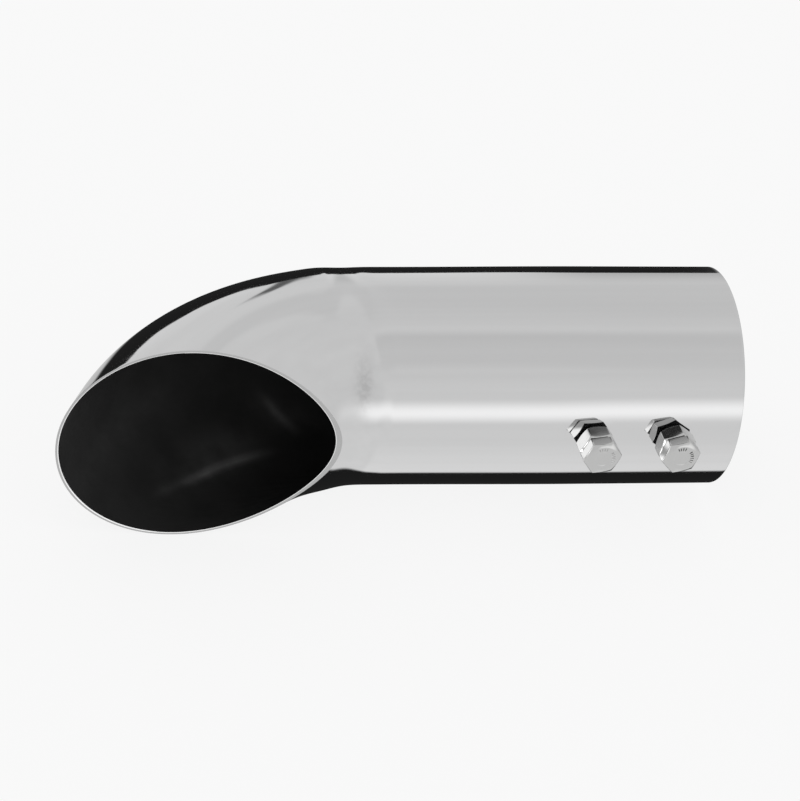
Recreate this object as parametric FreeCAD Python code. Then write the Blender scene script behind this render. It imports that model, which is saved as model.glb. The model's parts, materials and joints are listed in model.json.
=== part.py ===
import FreeCAD, Part
import math
import os

from FreeCAD import Placement, Rotation, Vector

# A turn-down exhaust tip that lies on its side. The inlet end is at x = 0, the sleeve runs towards -X,
# and the bend turns towards -Y, so the tube rests on the lowest line of its wall. All sizes are in mm.

# Bent tube
tube_diameter = 63.0
tube_wall = 0.8
sleeve_length = 103.5
bend_radius = 73.5
bend_angle = 60.0

# Slash cut: the mouth plane passes this far below the sleeve's belly where the bend starts,
# and rises by the tilt towards the toe.
mouth_drop = 3.7
mouth_tilt = 2.7

# Places of the clamp screws, in line along the sleeve's belly
first_screw = 20.0
screw_spacing = 23.6
screw_count = 2

# Hexagon screw, whose head rests on the nut
screw_diameter = 6.0
screw_length = 6.0
screw_point = 0.8
head_across_flats = 10.0
head_height = 4.0
head_face_diameter = 7.8
head_chamfer_angle = 20.0
bearing_face_diameter = 9.0
bearing_face_height = 0.5

# Hexagon nut, welded to the sleeve by a round collar
nut_across_flats = 10.0
nut_height = 5.0
nut_face_diameter = 9.2
nut_chamfer_angle = 30.0
weld_collar_diameter = 8.4
weld_collar_height = 0.6
countersink_depth = 0.3

# How far each hexagon happens to be turned about its screw, station by station from the inlet
nut_turns = (24.0, 5.0)
head_turns = (14.0, 8.0)

# Radial clearances
thread_clearance = 0.1
hole_clearance = 0.4
weld_clearance = 0.02

tube_radius = tube_diameter / 2
bore_radius = tube_radius - tube_wall
screw_radius = screw_diameter / 2
ALONG_X = Vector(1, 0, 0)
UP = Vector(0, 0, 1)

# Heights along a screw's axis, measured from the sleeve's axis
nut_base = tube_radius + weld_collar_height
head_seat = nut_base + nut_height


def turned(profile):
    """Solid of revolution about Z from (radius, height) points."""
    points = [Vector(radius, 0, height) for radius, height in profile]
    face = Part.Face(Part.makePolygon(points + points[:1]))
    return face.revolve(Vector(), UP, 360)


def chamfered_hexagon(across_flats, face_diameter, chamfer_angle, bottom, top, turn, both_ends):
    """Hexagonal prism about Z with its corners turned down to a cone round the top face, or round both."""
    corner_radius = across_flats / 2 / math.cos(math.radians(30))
    corners = []
    for corner in range(6):
        angle = math.radians(turn + 60 * corner)
        corners.append(Vector(corner_radius * math.cos(angle), corner_radius * math.sin(angle), bottom))
    prism = Part.Face(Part.makePolygon(corners + corners[:1])).extrude(UP * (top - bottom))

    face_radius = face_diameter / 2
    rise = (corner_radius - face_radius) * math.tan(math.radians(chamfer_angle))
    lower = [(corner_radius, bottom)]
    if both_ends:
        lower = [(face_radius, bottom), (corner_radius, bottom + rise)]
    upper = [(corner_radius, top - rise), (face_radius, top)]
    return prism.common(turned([(0, bottom)] + lower + upper + [(0, top)]))


def threaded_bore():
    """What the nut's hole takes out: a bore just wider than the thread, countersunk at the top."""
    radius = screw_radius + thread_clearance
    wide = radius + countersink_depth / math.tan(math.radians(nut_chamfer_angle))
    lip = head_seat - countersink_depth
    return turned([(0, 0), (radius, 0), (radius, lip), (wide, head_seat), (0, head_seat)])


def bent_tube():
    """Tube of one wall: straight sleeve, bend and tail, trimmed by the mouth plane."""
    rings = [Part.Wire(Part.makeCircle(radius, Vector(), ALONG_X)) for radius in (tube_radius, bore_radius)]
    section = Part.Face(rings[0]).cut(Part.Face(rings[1])).Faces[0]
    sleeve = section.extrude(ALONG_X * -sleeve_length)

    bend_start = Vector(-sleeve_length, 0, 0)
    bend_centre = Vector(-sleeve_length, -bend_radius, 0)
    bend_section = section.translated(bend_start)
    bend = bend_section.revolve(bend_centre, UP, bend_angle)

    # The tail is long enough for its outer line, which ends in the toe, to reach the mouth plane.
    turn = math.radians(bend_angle)
    tilt = math.radians(mouth_tilt)
    tail_direction = Vector(-math.cos(turn), -math.sin(turn), 0)
    mouth_normal = Vector(math.sin(tilt), math.cos(tilt), 0)
    mouth_point = bend_start - Vector(0, tube_radius + mouth_drop, 0)
    outer_radius = bend_radius + tube_radius
    outer_end = bend_centre + Vector(-math.sin(turn), math.cos(turn), 0) * outer_radius
    toe_run = mouth_normal.dot(outer_end - mouth_point) / math.sin(turn + tilt)
    tail_length = max(toe_run, 0) + tube_radius
    tail_section = bend_section.copy()
    tail_section.rotate(bend_centre, UP, bend_angle)
    tail = tail_section.extrude(tail_direction * tail_length)
    tube = sleeve.multiFuse([bend, tail]).removeSplitter()

    # Everything beyond the mouth plane is cut off by a block with one face in that plane.
    reach = sleeve_length + outer_radius + tail_length
    block = Part.makeBox(2 * reach, reach, 2 * reach, Vector(-reach, -reach, -reach))
    block.Placement = Placement(mouth_point, Rotation(UP, -mouth_tilt))
    return tube.cut(block)


def weld_nut(turn):
    """Nut on a round weld collar, whose foot is saddle-cut to the sleeve."""
    nut = chamfered_hexagon(
        nut_across_flats, nut_face_diameter, nut_chamfer_angle,
        nut_base, head_seat, turn, both_ends=True,
    )
    collar_radius = weld_collar_diameter / 2
    collar = Part.makeCylinder(collar_radius, nut_base, Vector(), UP)
    saddle_radius = tube_radius + weld_clearance
    saddle_length = 2 * weld_collar_diameter
    saddle = Part.makeCylinder(saddle_radius, saddle_length, ALONG_X * (-saddle_length / 2), ALONG_X)
    return nut.fuse(collar.cut(saddle)).removeSplitter().cut(threaded_bore())


def clamp_screw(turn):
    """Hexagon screw: chamfered head on a round bearing face, and a shank with a chamfered point."""
    hexagon_base = head_seat + bearing_face_height
    head_top = head_seat + head_height
    head = chamfered_hexagon(
        head_across_flats, head_face_diameter, head_chamfer_angle,
        hexagon_base, head_top, turn, both_ends=False,
    )
    tip = head_seat - screw_length
    bearing_radius = bearing_face_diameter / 2
    shank = turned([
        (0, tip), (screw_radius - screw_point, tip), (screw_radius, tip + screw_point),
        (screw_radius, head_seat), (bearing_radius, head_seat), (bearing_radius, hexagon_base),
        (0, hexagon_base),
    ])
    return head.fuse(shank).removeSplitter()


tip_tube = bent_tube()
weld_nuts = []
clamp_screws = []
for station in range(screw_count):
    foot = Vector(-first_screw - station * screw_spacing, 0, 0)
    place = Placement(foot, Rotation(ALONG_X, 90))
    outward = place.Rotation.multVec(UP)
    hole = Part.makeCylinder(screw_radius + hole_clearance, tube_diameter, foot, outward)
    tip_tube = tip_tube.cut(hole)
    choice = station % len(head_turns)
    weld_nuts.append(weld_nut(nut_turns[choice]))
    clamp_screws.append(clamp_screw(head_turns[choice]))
    for fastener in (weld_nuts[-1], clamp_screws[-1]):
        fastener.Placement = place

os.makedirs("parts", exist_ok=True)
tip_tube.exportStep("parts/tip_tube.step")
Part.makeCompound(weld_nuts).exportStep("parts/weld_nuts.step")
Part.makeCompound(clamp_screws).exportStep("parts/clamp_screws.step")
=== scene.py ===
import json
import math

import bpy
import numpy as np
from mathutils import Matrix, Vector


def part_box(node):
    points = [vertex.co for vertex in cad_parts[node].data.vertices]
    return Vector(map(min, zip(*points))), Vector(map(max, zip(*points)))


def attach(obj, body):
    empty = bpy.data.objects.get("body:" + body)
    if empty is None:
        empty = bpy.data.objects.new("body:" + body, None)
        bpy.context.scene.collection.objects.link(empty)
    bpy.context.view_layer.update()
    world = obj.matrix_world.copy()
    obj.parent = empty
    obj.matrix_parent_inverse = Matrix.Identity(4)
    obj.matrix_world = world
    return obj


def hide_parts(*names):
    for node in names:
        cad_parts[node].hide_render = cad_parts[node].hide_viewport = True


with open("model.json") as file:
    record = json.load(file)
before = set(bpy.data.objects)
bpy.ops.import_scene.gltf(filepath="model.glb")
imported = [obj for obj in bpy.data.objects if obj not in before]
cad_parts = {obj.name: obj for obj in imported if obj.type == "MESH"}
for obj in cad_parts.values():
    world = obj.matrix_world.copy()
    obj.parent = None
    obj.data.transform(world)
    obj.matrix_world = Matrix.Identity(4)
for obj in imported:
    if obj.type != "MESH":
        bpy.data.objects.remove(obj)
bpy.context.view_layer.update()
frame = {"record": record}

# Bent tube
# One thin steel tube, bent once and cut off at a slant for the mouth, polished and chromed outside and left
# dark inside. The straight sleeve slides over the tail pipe, and two holes in it pass the clamp screws.

MM = 0.001
inlet_fit = frame["record"]["mounts"][0]["dims"]
bore_radius = inlet_fit["r_mm"] * MM
sleeve_length = inlet_fit["length_mm"] * MM
tube_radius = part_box("tip_tube")[1].z
bend_radius = 73.5 * MM
bend_angle = math.radians(60)
mouth_depth = tube_radius + 3.7 * MM
mouth_tilt = math.radians(2.7)
edge_round = 0.14 * MM
lip_round = 0.26 * MM

draw_start = 40 * MM
draw_depth = 0.36 * MM
draw_release = np.array([5, 17]) * MM
neck_offset = 12 * MM
neck_spread = 4.5 * MM
neck_depth = 0.12 * MM
neck_on_belly = 0.6
back_flattening = 0.35 * MM

screw_stations = np.array([20, 43.6]) * MM
hole_radius = 3.4 * MM

around_steps = 160
sleeve_steps = 84
bend_steps = 100
hole_window = 4
hole_rings = 5
edge_rows = 3
longest_ease = 0.45
shortest_way = 1e-9
sharp_angle = math.radians(50)


def smooth_step(share):
    """Share clipped to 0 to 1 and eased at both ends by a cubic."""
    share = np.clip(share, 0, 1)
    return share ** 2 * (3 - 2 * share)


def mouth_run(radius, around):
    """Length of a wall line from the inlet to the mouth plane. The arc crosses the plane where its lever
    times the cosine of turn plus tilt equals the plane's distance from the bend's axis. Past the end of
    the bend, the straight rest makes up what is still missing."""
    lever = bend_radius - radius * np.cos(around)
    plane = (bend_radius - mouth_depth) * math.cos(mouth_tilt)
    turn = np.minimum(np.arccos(plane / lever) - mouth_tilt, bend_angle)
    end_angle = bend_angle + mouth_tilt
    rest = (lever * math.cos(end_angle) - plane) / math.sin(end_angle)
    return sleeve_length + lever * turn + np.maximum(rest, 0)


def bend_marks(radius, run, around):
    """How far the bending moved the wall out: drawn in slowly along the sleeve and let go in the bend, with
    a shallow neck and a swelling there, the slope of a bell curve and strongest on the flanks, and the back
    of the bend flattened by a squared sine between the bend's start and the mouth."""
    past = run - sleeve_length
    drawn = smooth_step((run - draw_start) / (sleeve_length - draw_start))
    drawn = drawn * (1 - smooth_step((past - draw_release[0]) / np.ptp(draw_release)))
    step = (past - neck_offset) / neck_spread
    flank = neck_on_belly + (1 - neck_on_belly) * np.sin(around) ** 2
    neck = flank * step * np.exp(0.5 - 0.5 * step ** 2)
    share = np.clip(past / (mouth_run(radius, around) - sleeve_length), 0, 1)
    back = ((1 - np.cos(around)) / 2) ** 2
    flat = back * np.sin(math.pi * share ** 2) ** 2
    return neck_depth * neck - draw_depth * drawn - back_flattening * flat


def wall_line(radius, around, run):
    """Points on one wall of the tube. A line of the wall keeps its angle round the section, from the belly,
    and runs from the inlet straight along the sleeve, then round the bend's axis at the bend radius less
    the wall radius times the cosine of that angle, then straight on."""
    radius = radius + bend_marks(radius, run, around)
    lever = bend_radius - radius * np.cos(around)
    turn = np.clip((run - sleeve_length) / lever, 0, bend_angle)
    straight = np.minimum(run, sleeve_length)
    tail = np.maximum(run - sleeve_length - lever * bend_angle, 0)
    x = -straight - lever * np.sin(turn) - tail * np.cos(turn)
    y = lever * np.cos(turn) - bend_radius - tail * np.sin(turn)
    z = radius * np.sin(around)
    return np.stack(np.broadcast_arrays(x, y, z), axis=-1)


def wall_runs(radius, around):
    """Rows of run from inlet to mouth: even steps along the sleeve, then even shares of what is left."""
    sleeve = np.linspace(0, sleeve_length, sleeve_steps + 1)[:, None] * np.ones_like(around)
    share = np.linspace(0, 1, bend_steps + 1)[1:, None]
    bend = sleeve_length + share * (mouth_run(radius, around) - sleeve_length)
    return np.concatenate([sleeve, bend])


def eased(corner, before, after, reach):
    """Three rows in place of a sharp corner row: a parabola that leaves the way from `before` at `reach`
    short of the corner and joins the way to `after` as far beyond it."""
    def towards(row):
        way = row - corner
        length = np.maximum(np.linalg.norm(way, axis=-1, keepdims=True), shortest_way)
        return corner + way * np.minimum(reach / length, longest_ease)

    start = towards(before)
    end = towards(after)
    return np.stack([start, (start + 2 * corner + end) / 4, end])


def cells(index_rows):
    """Four-cornered faces between the rows of a grid of point numbers, closed round the columns. They face
    away from rows that climb while the columns run anticlockwise."""
    lower = index_rows[:-1]
    upper = index_rows[1:]
    next_lower = np.roll(lower, -1, axis=1)
    next_upper = np.roll(upper, -1, axis=1)
    return np.stack([lower, next_lower, next_upper, upper], axis=-1)


def new_piece(name, points, faces, materials):
    """Smooth-shaded object at the origin from points in metres and lists of point numbers."""
    mesh = bpy.data.meshes.new(name)
    mesh.from_pydata(points.tolist(), [], faces)
    mesh.shade_smooth()
    mesh.set_sharp_from_angle(angle=sharp_angle)
    for material in materials:
        mesh.materials.append(material)
    piece = bpy.data.objects.new(name, mesh)
    bpy.context.scene.collection.objects.link(piece)
    even = piece.modifiers.new("even_shading", "WEIGHTED_NORMAL")
    even.keep_sharp = True
    return piece


def hole_patch(radius, hole_run, row_of, first):
    """Ring grid between a round hole and the square window cut for it in the wall. Each ring is a share of
    the way, in run and angle, from the hole's edge to the window's outline. `row_of` gives the loop row
    of a sleeve step, and `first` the number of the first new point."""
    side = np.arange(-hole_window, hole_window)
    full = np.full(len(side), hole_window)
    row_steps = np.concatenate([-full, side, full, -side])
    column_steps = np.concatenate([side, full, -side, -full])
    step_length = sleeve_length / sleeve_steps
    middle_step = round(hole_run / step_length)
    sleeve_step = middle_step + row_steps
    window_run = sleeve_step * step_length
    window_around = column_steps * 2 * math.pi / around_steps
    outline = row_of(sleeve_step) * around_steps + column_steps % around_steps

    bearing = np.arctan2(window_around * radius, window_run - hole_run)
    edge_run = hole_run + hole_radius * np.cos(bearing)
    edge_around = np.arcsin(hole_radius * np.sin(bearing) / radius)
    share = np.linspace(0, 1, hole_rings + 1)[:-1, None]
    ring_run = edge_run + share * (window_run - edge_run)
    ring_around = edge_around + share * (window_around - edge_around)
    points = wall_line(radius, ring_around, ring_run).reshape(-1, 3)
    numbers = first + np.arange(len(points)).reshape(hole_rings, -1)
    return points, np.concatenate([numbers, outline[None]]), middle_step


around = np.arange(around_steps) * 2 * math.pi / around_steps
outer_runs = wall_runs(tube_radius, around)
inner_runs = wall_runs(bore_radius, around)
outer_wall = wall_line(tube_radius, around, outer_runs)
inner_wall = wall_line(bore_radius, around, inner_runs)
tube_rows = np.concatenate([
    eased(outer_wall[0], inner_wall[0], outer_wall[1], edge_round),
    outer_wall[1:-1],
    eased(outer_wall[-1], outer_wall[-2], inner_wall[-1], edge_round),
    eased(inner_wall[-1], outer_wall[-1], inner_wall[-2], lip_round),
    inner_wall[-2:0:-1],
    eased(inner_wall[0], inner_wall[1], outer_wall[0], edge_round),
])
row_count = len(tube_rows)
wall_rows = len(outer_wall) - 2
mouth_row = edge_rows + wall_rows
inner_row = mouth_row + 2 * edge_rows
inlet_row = inner_row + wall_rows

OUTSIDE, RIM, LIP, INSIDE = range(4)
row_finish = np.full(row_count, OUTSIDE)
row_finish[mouth_row:inner_row] = RIM
row_finish[mouth_row + edge_rows:inner_row - 1] = LIP
row_finish[inner_row - 1:inlet_row] = INSIDE
row_finish[inlet_row:] = RIM
row_finish[:edge_rows - 1] = RIM

# Where the outside is painted darker at the start of the bend, as a painted dark reflection
dark_patch_offset = 10 * MM
dark_patch_length = 2.6 * MM
dark_patch_angle = math.radians(31)
dark_patch_width = math.radians(13)

# Painted highlights in the bore, lighter lines that stand in for reflections: angles in degrees from the
# belly, runs in mm from the inlet
line_angle = -104
line_width = 2.6
line_strength = 0.75
line_drift = 0.3
drift_start = 155
line_start = 122
line_fade_in = 20
line_end = 178
line_fade_out = 32
border_angle = -112
border_width = 13
border_strength = 0.22
cross_run = 118
cross_angle = -115
cross_slope = 0.41
cross_width = 1.8
cross_strength = 0.6
cross_middle = -126
cross_reach = 9
cross_border = 4
cross_border_strength = 0.2
bore_sheen = 0.06


def dark_reflection_patch():
    """Where the outside is painted darker, as a painted dark reflection: a bell curve along the run, at the
    start of the bend, times one round the section, on the upper flank of the belly."""
    along = (outer_runs - sleeve_length - dark_patch_offset) / dark_patch_length
    across = (around - dark_patch_angle) / dark_patch_width
    return np.exp(-along ** 2 - across ** 2)


def bore_highlight_streaks():
    """Where the inside is painted lighter, as painted highlights that stand in for reflections: a narrow
    line along the wall with a wide faint border, and a short line across it at the start of the bend, on a
    thin painted sheen all over. Each line is a bell curve about its middle, faded at its ends."""
    angle = np.degrees((around + math.pi) % (2 * math.pi) - math.pi)
    run = inner_runs / MM
    off_line = (angle - line_angle + np.maximum(run - drift_start, 0) * line_drift) / line_width
    line = line_strength * np.exp(-off_line ** 2)
    border = border_strength * np.exp(-((angle - border_angle) / border_width) ** 2)
    ends = smooth_step((run - line_start) / line_fade_in) * smooth_step((line_end - run) / line_fade_out)
    off_cross = (run - cross_run + cross_slope * (angle - cross_angle)) / cross_width
    cross = cross_strength * np.exp(-off_cross ** 2)
    cross_glow = cross_border_strength * np.exp(-(off_cross / cross_border) ** 2)
    cross_ends = np.exp(-((angle - cross_middle) / cross_reach) ** 2)
    return ends * (line + border) + cross_ends * (cross + cross_glow) + bore_sheen


# Painted reflections for each point: a darker patch outside at the bend's start, and lighter streaks in the
# bore.
painted_reflection = np.zeros((row_count, around_steps))
painted_reflection[edge_rows:mouth_row] = dark_reflection_patch()[1:-1]
painted_reflection[inner_row:inlet_row] = bore_highlight_streaks()[-2:0:-1]

numbers = np.arange(row_count * around_steps).reshape(row_count, around_steps)
tube_cells = cells(np.concatenate([numbers, numbers[:1]]))
kept = np.ones((row_count, around_steps), bool)
window_columns = np.arange(-hole_window, hole_window) % around_steps
tube_points = [tube_rows.reshape(-1, 3)]
patch_cells = []
patch_finish = []
point_count = row_count * around_steps
for hole_run in screw_stations:
    edges = []
    for radius, finish, row_of in (
        (tube_radius, OUTSIDE, lambda step: edge_rows - 1 + step),
        (bore_radius, INSIDE, lambda step: inner_row + wall_rows - step),
    ):
        points, ring_numbers, middle = hole_patch(radius, hole_run, row_of, point_count)
        point_count += len(points)
        tube_points.append(points)
        window_rows = row_of(middle + np.array([-hole_window, hole_window]))
        kept[np.ix_(np.arange(window_rows.min(), window_rows.max()), window_columns)] = False
        outward = ring_numbers if finish == INSIDE else ring_numbers[::-1]
        ring_cells = cells(outward).reshape(-1, 4)
        patch_cells.append(ring_cells)
        patch_finish.append(np.full(len(ring_cells), finish))
        edges.append(ring_numbers[0])
    bush_cells = cells(np.stack(edges)).reshape(-1, 4)
    patch_cells.append(bush_cells)
    patch_finish.append(np.full(len(bush_cells), RIM))

tube_faces = np.concatenate([tube_cells[kept]] + patch_cells)
finish_of_face = np.concatenate([np.repeat(row_finish, kept.sum(axis=1))] + patch_finish)


def new_material(name):
    """Node material with its Principled shader."""
    material = bpy.data.materials.new(name)
    material.use_nodes = True
    return material, material.node_tree.nodes, material.node_tree.links


patch_detail = 3
line_detail = 2
line_stretch = 0.08
least_haze = 0.1
most_haze = 0.45
break_start = 0.35
break_end = 0.6
faintest_mark = 0.45


def polish_group():
    """Faint traces of buffing: broad hazy patches and fine drawn lines along the object's X axis, put out
    as a mask and a height."""
    group = bpy.data.node_groups.new("buffing_traces", "ShaderNodeTree")
    for socket_name in ("Patch Scale", "Line Scale"):
        group.interface.new_socket(socket_name, in_out="INPUT", socket_type="NodeSocketFloat")
    for socket_name in ("Haze", "Height"):
        group.interface.new_socket(socket_name, in_out="OUTPUT", socket_type="NodeSocketFloat")
    nodes = group.nodes
    links = group.links
    given = nodes.new("NodeGroupInput")
    result = nodes.new("NodeGroupOutput")
    place = nodes.new("ShaderNodeTexCoord")
    patches = nodes.new("ShaderNodeTexNoise")
    patches.inputs["Detail"].default_value = patch_detail
    stretch = nodes.new("ShaderNodeMapping")
    stretch.inputs["Scale"].default_value = (line_stretch, 1, 1)
    lines_noise = nodes.new("ShaderNodeTexNoise")
    lines_noise.inputs["Detail"].default_value = line_detail
    blend = nodes.new("ShaderNodeMath")
    blend.operation = "MULTIPLY"
    links.new(place.outputs["Object"], patches.inputs["Vector"])
    links.new(given.outputs["Patch Scale"], patches.inputs["Scale"])
    links.new(place.outputs["Object"], stretch.inputs["Vector"])
    links.new(stretch.outputs["Vector"], lines_noise.inputs["Vector"])
    links.new(given.outputs["Line Scale"], lines_noise.inputs["Scale"])
    links.new(patches.outputs["Fac"], blend.inputs[0])
    links.new(lines_noise.outputs["Fac"], blend.inputs[1])
    links.new(blend.outputs["Value"], result.inputs["Haze"])
    links.new(lines_noise.outputs["Fac"], result.inputs["Height"])
    return group


buffing = polish_group()


def bare_metal(name, colour, smooth, rough, patch_scale, line_scale, line_depth):
    """Metal whose roughness goes from smooth to rough with the buffing haze, over lines of a given depth."""
    material, nodes, links = new_material(name)
    shader = nodes["Principled BSDF"]
    shader.inputs["Metallic"].default_value = 1
    shader.inputs["Base Color"].default_value = (*colour, 1)
    traces = nodes.new("ShaderNodeGroup")
    traces.node_tree = buffing
    traces.inputs["Patch Scale"].default_value = patch_scale
    traces.inputs["Line Scale"].default_value = line_scale
    haze = nodes.new("ShaderNodeMapRange")
    haze.inputs["From Min"].default_value = least_haze
    haze.inputs["From Max"].default_value = most_haze
    haze.inputs["To Min"].default_value = smooth
    haze.inputs["To Max"].default_value = rough
    bump = nodes.new("ShaderNodeBump")
    bump.inputs["Strength"].default_value = 1
    bump.inputs["Distance"].default_value = line_depth
    links.new(traces.outputs["Haze"], haze.inputs["Value"])
    links.new(haze.outputs["Result"], shader.inputs["Roughness"])
    links.new(traces.outputs["Height"], bump.inputs["Height"])
    links.new(bump.outputs["Normal"], shader.inputs["Normal"])
    return material


def tinted(material, attribute, patch_scale, plain, marked):
    """Give a material a base colour that goes from plain to marked where the mesh attribute says so, broken
    up by patches of noise."""
    nodes = material.node_tree.nodes
    links = material.node_tree.links
    amount = nodes.new("ShaderNodeAttribute")
    amount.attribute_name = attribute
    place = nodes.new("ShaderNodeTexCoord")
    patches = nodes.new("ShaderNodeTexNoise")
    patches.inputs["Scale"].default_value = patch_scale
    patches.inputs["Detail"].default_value = patch_detail
    links.new(place.outputs["Object"], patches.inputs["Vector"])
    breaks = nodes.new("ShaderNodeMapRange")
    breaks.inputs["From Min"].default_value = break_start
    breaks.inputs["From Max"].default_value = break_end
    breaks.inputs["To Min"].default_value = faintest_mark
    links.new(patches.outputs["Fac"], breaks.inputs["Value"])
    broken = nodes.new("ShaderNodeMath")
    broken.operation = "MULTIPLY"
    links.new(amount.outputs["Fac"], broken.inputs[0])
    links.new(breaks.outputs["Result"], broken.inputs[1])
    colour = nodes.new("ShaderNodeMix")
    colour.data_type = "RGBA"
    colour.inputs["A"].default_value = (*plain, 1)
    colour.inputs["B"].default_value = (*marked, 1)
    links.new(broken.outputs["Value"], colour.inputs["Factor"])
    links.new(colour.outputs["Result"], nodes["Principled BSDF"].inputs["Base Color"])


chrome_colour = (0.55, 0.55, 0.552)
dark_reflection_colour = (0.42, 0.42, 0.42)
rim_colour = (0.41, 0.41, 0.41)
lip_glint_colour = (0.82, 0.82, 0.82)
bore_colour = (0.013, 0.013, 0.013)
streak_highlight_colour = (0.14, 0.14, 0.14)
bore_gloss = 0.15

mirror_chrome = bare_metal(
    "mirror_chrome", chrome_colour, smooth=0.03, rough=0.09,
    patch_scale=25, line_scale=400, line_depth=0.0005 * MM,
)
# Darker base colour where the painted dark reflection lies, at the start of the bend.
tinted(mirror_chrome, "painted_reflection", patch_scale=600, plain=chrome_colour, marked=dark_reflection_colour)
sawn_rim = bare_metal(
    "sawn_rim", rim_colour, smooth=0.18, rough=0.32,
    patch_scale=300, line_scale=2500, line_depth=0.004 * MM,
)
# Inner edge of the mouth: smoother than the cut face, and given a brighter colour as a painted highlight
# along it.
polished_lip_glint = bare_metal(
    "polished_lip_glint", lip_glint_colour, smooth=0.12, rough=0.25,
    patch_scale=300, line_scale=2500, line_depth=0.002 * MM,
)
dark_bore = bare_metal(
    "dark_bore", bore_colour, smooth=0.4, rough=0.6,
    patch_scale=60, line_scale=500, line_depth=0.004 * MM,
)
# Lighter base colour along the painted highlight streaks of the bore, which stand in for reflections.
tinted(dark_bore, "painted_reflection", patch_scale=90, plain=bore_colour, marked=streak_highlight_colour)
bore_shader = dark_bore.node_tree.nodes["Principled BSDF"]
bore_shader.inputs["Metallic"].default_value = 0
bore_shader.inputs["Specular IOR Level"].default_value = bore_gloss

bent_tube = new_piece(
    "chromed_tube",
    np.concatenate(tube_points),
    tube_faces.tolist(),
    (mirror_chrome, sawn_rim, polished_lip_glint, dark_bore),
)
bent_tube.data.polygons.foreach_set("material_index", finish_of_face.astype(np.int32))
painted_reflection_values = np.zeros(point_count)
painted_reflection_values[:painted_reflection.size] = painted_reflection.ravel()
bent_tube.data.attributes.new("painted_reflection", "FLOAT", "POINT").data.foreach_set("value", painted_reflection_values)
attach(bent_tube, "root")
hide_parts("tip_tube")

# Weld nuts
# Plated steel hexagon nuts, chamfered at both ends, one over each hole of the sleeve. A narrow round collar
# under each is welded to the tube and burnt dark by it, so that the nut's thread can carry the clamp screw.
# The dark of the collar and bead is partly that burning and partly painted shade in the gap under the nut,
# and the nut's own underside is painted as dark, as shade.

nut_across_flats = 10 * MM
collar_height = 0.6 * MM
nut_height = 5 * MM
nut_base = tube_radius + collar_height
head_seat = nut_base + nut_height
nut_bore = 3.1 * MM
countersink_depth = 0.3 * MM
nut_face_radius = 4.6 * MM
nut_slope = math.tan(math.radians(30))
corner_round = 0.25 * MM
hex_edge_round = 0.1 * MM
nut_turns = np.radians([24, 5])
collar_radius = 4.2 * MM
bead_width = 0.5 * MM
bead_height = 0.35 * MM
bead_rows = 6
bead_lumps = 9
lump_height = 0.2
bead_waves = 4
wave_height = 0.15
flat_points = 24
corner_points = 6


def hexagon(across_flats, turn):
    """Angle and distance from the axis of points round a hexagon with rounded corners. Each side is its
    flat, at half the size across flats, and then an arc that turns by 60 degrees into the next side."""
    flat = across_flats / 2
    half = (flat - corner_round) * math.tan(math.radians(30))
    along = np.linspace(-half, half, flat_points)
    bow = np.radians(np.linspace(0, 60, corner_points))[1:-1]
    out = np.concatenate([np.full(len(along), flat), flat - corner_round + corner_round * np.cos(bow)])
    across = np.concatenate([along, half + corner_round * np.sin(bow)])
    sides = turn + np.radians(30 + 60 * np.arange(6))[:, None]
    angle = (sides + np.arctan2(across, out)).ravel()
    return angle, np.tile(np.hypot(out, across), 6)


def carried(angle, profile):
    """Rows of points from a profile of (radius, height) pairs, each a number or an array over the columns,
    carried round the screw's axis."""
    rows = []
    for radius, height in profile:
        row = np.broadcast_arrays(radius * np.cos(angle), radius * np.sin(angle), height)
        rows.append(np.stack(row, axis=-1))
    return np.stack(rows)


def on_sleeve(points, station):
    """Points about a screw's own axis, moved to its station: the axis stands on the sleeve's axis and points
    away from the belly, along -Y."""
    x = points[..., 0] - screw_stations[station]
    return np.stack([x, -points[..., 2], points[..., 1]], axis=-1)


def weld_nut(station):
    """Loop of rows: the foot's saddle on the sleeve, the bead as a parabola from the sleeve up the collar,
    the hexagon between two cones, whose curve on the flats falls with the distance from the face circle,
    the countersink and the bore."""
    angle, reach = hexagon(nut_across_flats, nut_turns[station])

    def saddle(radius):
        return np.sqrt(tube_radius ** 2 - (radius * np.sin(angle)) ** 2)

    lumps = lump_height * np.cos(bead_lumps * angle)
    waves = wave_height * np.sin(bead_waves * angle + station)
    ripple = 1 + lumps + waves
    toe = collar_radius + bead_width * ripple
    bead = []
    for part in np.linspace(0, 1, bead_rows):
        radius = (1 - part) ** 2 * toe + (1 - (1 - part) ** 2) * collar_radius
        height = (1 - part ** 2) * saddle(radius) + part ** 2 * (saddle(collar_radius) + bead_height)
        bead.append((radius, height))
    fall = (reach - nut_face_radius) * nut_slope
    wide = nut_bore + countersink_depth / nut_slope
    corners = carried(angle, [
        (collar_radius, nut_base),
        (nut_face_radius, nut_base),
        (reach, nut_base + fall),
        (reach, head_seat - fall),
        (nut_face_radius, head_seat),
        (wide, head_seat),
        (nut_bore, head_seat - countersink_depth),
        (nut_bore, saddle(nut_bore)),
    ])
    outline = np.concatenate([corners, carried(angle, bead)])
    count = len(outline)
    rows = np.concatenate([
        eased(outline[k], outline[k - 1], outline[(k + 1) % count], hex_edge_round) for k in range(count)
    ])
    return on_sleeve(rows, station)


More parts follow.
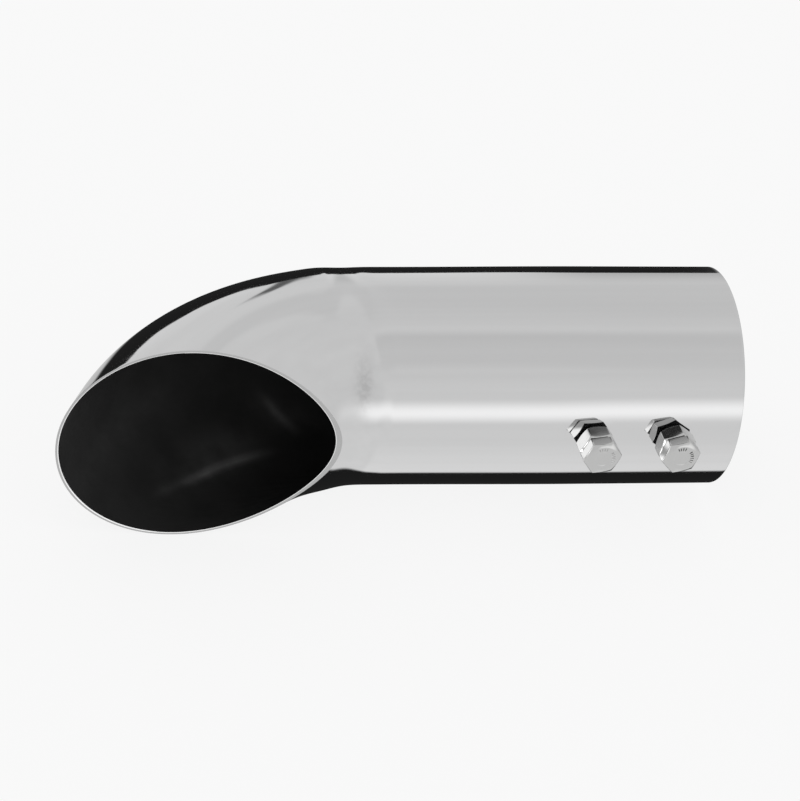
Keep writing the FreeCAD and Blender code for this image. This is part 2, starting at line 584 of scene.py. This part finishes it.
plated_colour = (0.47, 0.47, 0.467)
burnt_and_shade_colour = (0.03, 0.03, 0.031)
plated_steel = bare_metal(
    "plated_steel", plated_colour, smooth=0.06, rough=0.16,
    patch_scale=400, line_scale=3000, line_depth=0.002 * MM,
)
burnt_and_shaded_weld = bare_metal(
    "burnt_and_shaded_weld", burnt_and_shade_colour, smooth=0.45, rough=0.7,
    patch_scale=900, line_scale=1500, line_depth=0.02 * MM,
)
stations = range(len(screw_stations))
nut_points = np.stack([weld_nut(k) for k in stations])
nut_numbers = np.arange(nut_points[..., 0].size).reshape(nut_points.shape[:3])
nut_faces = np.concatenate([
    cells(np.concatenate([numbers, numbers[:1]])).reshape(-1, 4) for numbers in nut_numbers
])
PLATED, BURNT_AND_SHADED = range(2)
weld_finish = np.full(nut_points.shape[1:3], PLATED)
# Painted shade: the nut's underside takes the dark weld finish, as do the collar, the bead and the foot of
# the bore, which are partly burnt dark and partly shaded.
underside_rows = 2 * edge_rows + 1
foot_rows = edge_rows * bead_rows + 2
weld_finish[:underside_rows] = BURNT_AND_SHADED
weld_finish[-foot_rows:] = BURNT_AND_SHADED
weld_nuts = new_piece(
    "welded_nuts", nut_points.reshape(-1, 3), nut_faces.tolist(), (plated_steel, burnt_and_shaded_weld)
)
finish_of_cell = np.tile(weld_finish.ravel(), len(stations)).astype(np.int32)
weld_nuts.data.polygons.foreach_set("material_index", finish_of_cell)
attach(weld_nuts, "root")
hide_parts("weld_nuts")

# Clamp screws
# Plated steel hexagon screws with rolled threads, cold headed with a shallow dish and pressed ticks on the
# head. The ticks are dark from gathered dirt and from painted shade in their recesses, and the bearing face
# under each hexagon is painted dark as shade where it meets the nut. They are screwed down until their heads
# rest on the nuts.

screw_radius = 3 * MM
thread_pitch = 1 * MM
thread_depth = 0.6 * MM
thread_rows = 12
crest_share = 0.15
flank_share = 0.6
screw_length = 6 * MM
point_length = 0.8 * MM
tip_radius = 0.3 * MM
head_height = 4 * MM
head_face_radius = 3.9 * MM
head_slope = math.tan(math.radians(20))
bearing_radius = 4.5 * MM
bearing_height = 0.5 * MM
head_turns = np.radians([14, 8])
crown_round = 0.16 * MM
face_round = 0.3 * MM
dish_depth = 0.1 * MM
dish_radius = 2.6 * MM
dish_width = 0.6 * MM
ring_count = 30
ring_inset = 1.1 * face_round
centre_radius = 0.2 * MM
tick_depth = 0.12 * MM
tick_radius = 3.2 * MM
tick_reach = 0.75 * MM
ticks_round = 28
tick_steepness = 2.2
tick_narrowing = 0.2
tick_arcs = np.radians([(-26, 42), (74, 118)])
# How dark the ticks are on each head: gathered dirt and painted shade in their recesses.
tick_dirt_and_shade = [1.5, 0.4]
# How dark the painted shade on the screw's bearing face is, where the head meets the nut.
seat_shade = 0.9
seat_rows = 10


def thread(angle, height, tip):
    """Radius of the thread: a wave along the helix with flat crests and roots, cut back by the cone of the
    screw's point."""
    phase = (height / thread_pitch - angle / (2 * math.pi)) % 1
    depth = np.clip((np.abs(2 * phase - 1) - crest_share) / flank_share, 0, 1)
    cone = screw_radius - point_length + (height - tip)
    return np.minimum(screw_radius - thread_depth * depth, cone)


def ticks(angle, radius):
    """How deep the pressed ticks are, from 0 to 1: a wave round the circle with narrow crests, within a band
    of radius and over two arcs."""
    wave = np.clip(tick_steepness * np.cos(angle * ticks_round) - tick_narrowing, 0, 1)
    bearing = (angle + math.pi) % (2 * math.pi) - math.pi
    on_arc = np.any([(bearing > first) & (bearing < last) for first, last in tick_arcs], axis=0)
    band = np.clip(2 - 2 * np.abs(radius - tick_radius) / tick_reach, 0, 1)
    return wave * on_arc * band


def head_face(angle, radius, top):
    """Height of the head's face: a dish that falls smoothly inside its edge, less the depth of the ticks."""
    dish = dish_depth * smooth_step((dish_radius - radius) / dish_width)
    return top - dish - tick_depth * ticks(angle, radius)


def clamp_screw(station):
    """Rows from the tip to the middle of the head: the point, the thread, the round bearing face, the
    hexagon with its turned-down corners, and the dished face in rings that close to the middle."""
    angle, reach = hexagon(nut_across_flats, head_turns[station])
    tip = head_seat - screw_length
    top = head_seat + head_height
    rise = np.arange(tip, head_seat - thread_pitch / 2, thread_pitch / thread_rows)
    shank = [(thread(angle, height, tip), height) for height in rise]
    hexagon_base = head_seat + bearing_height
    fall = (reach - head_face_radius) * head_slope
    corners = carried(angle, [
        (screw_radius, head_seat - thread_pitch / 4),
        (screw_radius, head_seat),
        (bearing_radius, head_seat),
        (bearing_radius, hexagon_base),
        (reach, hexagon_base),
        (reach, top - fall),
        (head_face_radius, top),
        (0, top),
    ])
    rounds = [hex_edge_round] * 4 + [crown_round, face_round]
    head = np.concatenate([
        eased(corners[k], corners[k - 1], corners[k + 1], rounds[k - 1])
        for k in range(1, len(corners) - 1)
    ])
    rings = np.linspace(head_face_radius - ring_inset, centre_radius, ring_count)
    dish = [(radius, head_face(angle, radius, top)) for radius in rings]
    flat_tip = [(tip_radius, tip)]
    rows = np.concatenate([carried(angle, flat_tip + shank), head, carried(angle, dish)])
    dirt_and_shade = np.zeros(rows.shape[:2])
    # Painted shade on the bearing face under each hexagon, where the head sits on its nut.
    seat_row = 1 + len(shank)
    dirt_and_shade[seat_row:seat_row + seat_rows] = seat_shade
    dirt_and_shade[-len(rings):] = tick_dirt_and_shade[station] * ticks(angle, rings[:, None])
    return on_sleeve(rows, station), dirt_and_shade


def capped_pair(name, shells, material):
    """One piece from open rows for each station, whose first and last rows are each closed by one face."""
    points = []
    faces = []
    first = 0
    for rows in shells:
        numbers = first + np.arange(rows.shape[0] * rows.shape[1]).reshape(rows.shape[:2])
        points.append(rows.reshape(-1, 3))
        faces += cells(numbers).reshape(-1, 4).tolist()
        faces += [numbers[0, ::-1].tolist(), numbers[-1].tolist()]
        first += numbers.size
    return new_piece(name, np.concatenate(points), faces, [material])


# Colour of the dirt in the ticks, also used as painted shade in them and on the bearing faces.
dirt_and_shade_colour = (0.012, 0.012, 0.012)
stamped_steel = bare_metal(
    "stamped_steel", plated_colour, smooth=0.06, rough=0.16,
    patch_scale=400, line_scale=3000, line_depth=0.002 * MM,
)
tinted(stamped_steel, "dirt_and_shade", patch_scale=2500, plain=plated_colour, marked=dirt_and_shade_colour)

screw_rows, screw_dirt_and_shade = zip(*[clamp_screw(k) for k in stations])
clamp_screws = capped_pair("clamping_screws", screw_rows, stamped_steel)
dirt_and_shade_values = clamp_screws.data.attributes.new("dirt_and_shade", "FLOAT", "POINT")
dirt_and_shade_values.data.foreach_set("value", np.concatenate([dirt_and_shade.ravel() for dirt_and_shade in screw_dirt_and_shade]))
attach(clamp_screws, "root")
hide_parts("clamp_screws")

# Floor and surround
# A wide pale floor that keeps a soft shadow, inside a light tent. The polish mirrors the tent: a white
# cloth all round, dark behind and below the tube, with a strip light in front and the camera's slit
# above it.

floor_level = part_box("tip_tube")[0].z
floor_reach = 6
floor_colour = (0.9, 0.9, 0.9)
floor_glow = 0.9
backdrop_white = 0.955

floor_paint, floor_nodes, floor_links = new_material("floor_paint")
floor_nodes.remove(floor_nodes["Principled BSDF"])
floor_diffuse = floor_nodes.new("ShaderNodeBsdfDiffuse")
floor_diffuse.inputs["Color"].default_value = (*floor_colour, 1)
floor_white = floor_nodes.new("ShaderNodeEmission")
floor_white.inputs["Strength"].default_value = backdrop_white
floor_mix = floor_nodes.new("ShaderNodeMixShader")
floor_mix.inputs["Fac"].default_value = floor_glow
floor_links.new(floor_diffuse.outputs["BSDF"], floor_mix.inputs[1])
floor_links.new(floor_white.outputs["Emission"], floor_mix.inputs[2])
floor_links.new(floor_mix.outputs["Shader"], floor_nodes["Material Output"].inputs["Surface"])

floor_sheet = bpy.data.meshes.new("floor")
floor_sheet.from_pydata([
    (-floor_reach, -floor_reach, floor_level),
    (floor_reach, -floor_reach, floor_level),
    (floor_reach, floor_reach, floor_level),
    (-floor_reach, floor_reach, floor_level),
], [], [(0, 1, 2, 3)])
floor_sheet.materials.append(floor_paint)
floor = bpy.data.objects.new("floor", floor_sheet)
floor.visible_glossy = False
bpy.context.scene.collection.objects.link(floor)

tent = bpy.data.worlds.new("light_tent")
bpy.context.scene.world = tent
tent.use_nodes = True
tent_nodes = tent.node_tree.nodes
tent_links = tent.node_tree.links


def reckon(operation, *values):
    """Output of a Math node of the tent, whose inputs are numbers or other outputs."""
    node = tent_nodes.new("ShaderNodeMath")
    node.operation = operation
    for socket, value in zip(node.inputs, values):
        if isinstance(value, bpy.types.NodeSocket):
            tent_links.new(value, socket)
        else:
            socket.default_value = value
    return node.outputs["Value"]


def soft_edge(value, nothing, full):
    """Mask that grows smoothly from 0, where the value is `nothing`, to 1, where it is `full`."""
    node = tent_nodes.new("ShaderNodeMapRange")
    node.interpolation_type = "SMOOTHSTEP"
    tent_links.new(value, node.inputs["Value"])
    node.inputs["From Min"].default_value = nothing
    node.inputs["From Max"].default_value = full
    return node.outputs["Result"]


def soft_spot(towards, core, rim):
    """Round mask in a direction: 1 within the core angle and 0 beyond the rim angle, both in degrees."""
    node = tent_nodes.new("ShaderNodeVectorMath")
    node.operation = "DOT_PRODUCT"
    tent_links.new(tent_place.outputs["Generated"], node.inputs[0])
    node.inputs[1].default_value = np.array(towards) / np.linalg.norm(towards)
    return soft_edge(node.outputs["Value"], math.cos(math.radians(rim)), math.cos(math.radians(core)))


def painted(level, mask, target):
    """Level that the mask draws towards the target."""
    return reckon("ADD", level, reckon("MULTIPLY", mask, reckon("SUBTRACT", target, level)))


def overlap(*masks):
    """Product of masks, which is 1 only where each of them is."""
    product = masks[0]
    for mask in masks[1:]:
        product = reckon("MULTIPLY", product, mask)
    return product


def new_ramp(pairs, position_of, level_of):
    """Eased colour ramp through pairs of place and value, each turned into a share from 0 to 1."""
    node = tent_nodes.new("ShaderNodeValToRGB")
    node.color_ramp.interpolation = "EASE"
    stops = node.color_ramp.elements
    stops.remove(stops[1])
    for number, (place, value) in enumerate(pairs):
        position = position_of(place)
        stop = stops[0] if number == 0 else stops.new(position)
        stop.position = position
        stop.color = (level_of(value),) * 3 + (1,)
    return node


tent_place = tent_nodes.new("ShaderNodeTexCoord")
tent_axes = tent_nodes.new("ShaderNodeSeparateXYZ")
tent_links.new(tent_place.outputs["Generated"], tent_axes.inputs["Vector"])
side, depth, height = tent_axes.outputs

# Brightness of the cloth by its angle about the sleeve's axis: 0 is level in front, 90 overhead, -90 below.
# It holds for the part of the tent that the sleeve mirrors. Elsewhere the cloth is even, and lighter below.
cloth_levels = [
    (-92, 1.13), (-62, 1.11), (-37, 1.04), (-15, 1.05), (12, 1.03), (36, 0.99), (52, 0.92), (76, 0.88),
    (85, 1.0), (100, 0.95), (122, 0.91), (141, 0.93), (160, 1.02), (178, 1.05),
]
brightest = 1.2
sleeve_left = (0.24, 0.28)
sleeve_right = (0.42, 0.36)
even_level = 0.98
low_level = 1.05
low_edge = (-0.1, -0.45)
round_sleeve = reckon("ARCTAN2", height, reckon("MULTIPLY", depth, -1))
cloth_ramp = new_ramp(cloth_levels, lambda angle: 0.5 + angle / 360, lambda level: level / brightest)
tent_links.new(reckon("MULTIPLY_ADD", round_sleeve, 1 / (2 * math.pi), 0.5), cloth_ramp.inputs["Fac"])
sleeve_part = overlap(soft_edge(side, *sleeve_left), soft_edge(side, *sleeve_right))
even_cloth = painted(even_level, soft_edge(height, *low_edge), low_level)
cloth = painted(even_cloth, sleeve_part, reckon("MULTIPLY", cloth_ramp.outputs["Color"], brightest))

# Folds of the cloth, and a shaded corner of it behind the inlet.
fold_scale = 5
fold_detail = 3
fold_depth = 0.12
corner_side = (0.286, 0.328)
corner_height = (0.6, 0)
corner_depth = (0.3, 0.6)
corner_level = 0.63
folds = tent_nodes.new("ShaderNodeTexNoise")
folds.inputs["Scale"].default_value = fold_scale
folds.inputs["Detail"].default_value = fold_detail
tent_links.new(tent_place.outputs["Generated"], folds.inputs["Vector"])
fold_shade = reckon("MULTIPLY_ADD", folds.outputs["Fac"], fold_depth, 1 - fold_depth / 2)
cloth = reckon("MULTIPLY", cloth, fold_shade)
corner = overlap(
    soft_edge(side, *corner_side), soft_edge(height, *corner_height), soft_edge(depth, *corner_depth)
)
cloth = painted(cloth, corner, corner_level)

# The strip light, level in front and to the right, where it stands a little higher, and two lamps on the
# left, one level and one low. A lamp has its direction, core and rim angles, and level.
strip_rise = 0.03
rise_left = (0.29, 0.345)
rise_right = (0.5, 0.36)
strip_top = (0.19, -0.07)
strip_bottom = (-0.32, -0.09)
strip_depth = (-0.45, -0.8)
strip_end = (0.05, 0.2)
strip_level = 1.55
lamps = [((-0.62, -0.78, -0.12), 10, 14, 3.2), ((-0.62, -0.5, -0.55), 8, 14, 4)]
risen = overlap(soft_edge(side, *rise_left), soft_edge(side, *rise_right))
strip_height = reckon("MULTIPLY_ADD", risen, -strip_rise, height)
strip = overlap(
    soft_edge(strip_height, *strip_top), soft_edge(strip_height, *strip_bottom),
    soft_edge(depth, *strip_depth), soft_edge(side, *strip_end),
)
cloth = painted(cloth, strip, strip_level)
for lamp_direction, lamp_core, lamp_rim, lamp_level in lamps:
    cloth = painted(cloth, soft_spot(lamp_direction, lamp_core, lamp_rim), lamp_level)

# The slit for the camera, a small tuck in the cloth below it, and a lamp stand behind the bend.
slit_direction = (-0.06, -0.45, 0.89)
slit_angles = (16, 26)
slit_end = (0.26, 0.2)
slit_level = 0.07
tuck_direction = (0.21, -0.91, 0.35)
tuck_angles = (1.5, 3.5)
tuck_level = 0.55
stand_slope = 0.2035
stand_width = (0.017, 0.006)
stand_top = (0.42, 0.3)
stand_depth = (0.5, 0.8)
stand_level = 0.16
slit = overlap(soft_spot(slit_direction, *slit_angles), soft_edge(side, *slit_end))
cloth = painted(cloth, slit, slit_level)
cloth = painted(cloth, soft_spot(tuck_direction, *tuck_angles), tuck_level)
stand_offset = reckon("ABSOLUTE", reckon("MULTIPLY_ADD", depth, -stand_slope, side))
lamp_stand = overlap(
    soft_edge(stand_offset, *stand_width), soft_edge(height, *stand_top), soft_edge(depth, *stand_depth)
)
cloth = painted(cloth, lamp_stand, stand_level)

# The dark ground behind the tube. Its far edge is uneven: the height it reaches changes from side to side.
# It is lighter on the right, and again low on the left, where it ends.
edge_heights = [
    (-0.13, 0.0), (-0.1, 0.04), (-0.06, 0.015), (-0.01, 0.0), (0.06, 0.04), (0.14, 0.065), (0.18, 0.12),
    (0.22, 0.1), (0.25, 0.035), (0.27, 0.085), (0.297, 0.064), (0.318, 0.09), (0.34, 0.085), (0.355, 0.07),
]
edge_softness = (0.012, -0.004)
ground_front = (-0.04, 0.03)
right_side = (0.34, 0.38)
right_bottom = (-0.54, -0.48)
left_top = (-0.28, -0.36)
left_bottom = (-0.62, -0.57)
left_slant = 0.93
left_edge = (-0.315, -0.365)
dark_level = 0.018
right_level = 0.8
left_level = 0.65
edge_ramp = new_ramp(edge_heights, lambda place: 0.5 + place, lambda value: 0.5 + value)
tent_links.new(reckon("ADD", side, 0.5), edge_ramp.inputs["Fac"])
far_edge = reckon("SUBTRACT", edge_ramp.outputs["Color"], 0.5)
above_edge = reckon("SUBTRACT", height, far_edge)
ground = overlap(soft_edge(above_edge, *edge_softness), soft_edge(depth, *ground_front))
right_end = overlap(soft_edge(side, *right_side), soft_edge(height, *right_bottom))
slanted = reckon("MULTIPLY_ADD", side, left_slant, height)
left_end = overlap(
    soft_edge(height, *left_top), soft_edge(height, *left_bottom), soft_edge(slanted, *left_edge)
)
ground_level = painted(painted(dark_level, right_end, right_level), left_end, left_level)
cloth = painted(cloth, ground, ground_level)

ray_kind = tent_nodes.new("ShaderNodeLightPath")
tent_light = painted(backdrop_white, ray_kind.outputs["Is Glossy Ray"], cloth)
tent_links.new(tent_light, tent_nodes["Background"].inputs["Strength"])
tent_nodes["Background"].inputs["Color"].default_value = (1, 1, 1, 1)

# Camera
# It stands far off, with a long lens, and looks down on the mouth's side of the tube.
# It is tipped until the sleeve lies level in the picture.

azimuth = math.radians(-20.06)
elevation = math.radians(34.04)
roll = math.radians(11.28)
distance = 1.42032
aim = np.array([-0.09853, -0.01769, 0.00395])
focal_pixels = 5018.6
picture_height = 801
sensor_size = 36
nearest = 0.05
farthest = 20

back = np.array([
    math.sin(azimuth) * math.cos(elevation),
    -math.cos(azimuth) * math.cos(elevation),
    math.sin(elevation),
])
sideways = np.array([math.cos(azimuth), math.sin(azimuth), 0])
upright = np.cross(back, sideways)
right = math.cos(roll) * sideways + math.sin(roll) * upright
up = math.cos(roll) * upright - math.sin(roll) * sideways

lens = bpy.data.cameras.new("camera")
lens.sensor_fit = "AUTO"
lens.sensor_width = sensor_size
lens.lens = focal_pixels * sensor_size / picture_height
lens.clip_start = nearest
lens.clip_end = farthest
camera = bpy.data.objects.new("camera", lens)
camera_place = np.eye(4)
camera_place[:3, :3] = np.stack([right, up, back], axis=1)
camera_place[:3, 3] = aim + distance * back
camera.matrix_world = Matrix(camera_place.tolist())
bpy.context.scene.collection.objects.link(camera)
bpy.context.scene.camera = camera
bpy.context.scene.view_settings.view_transform = "Standard"

bpy.context.view_layer.update()
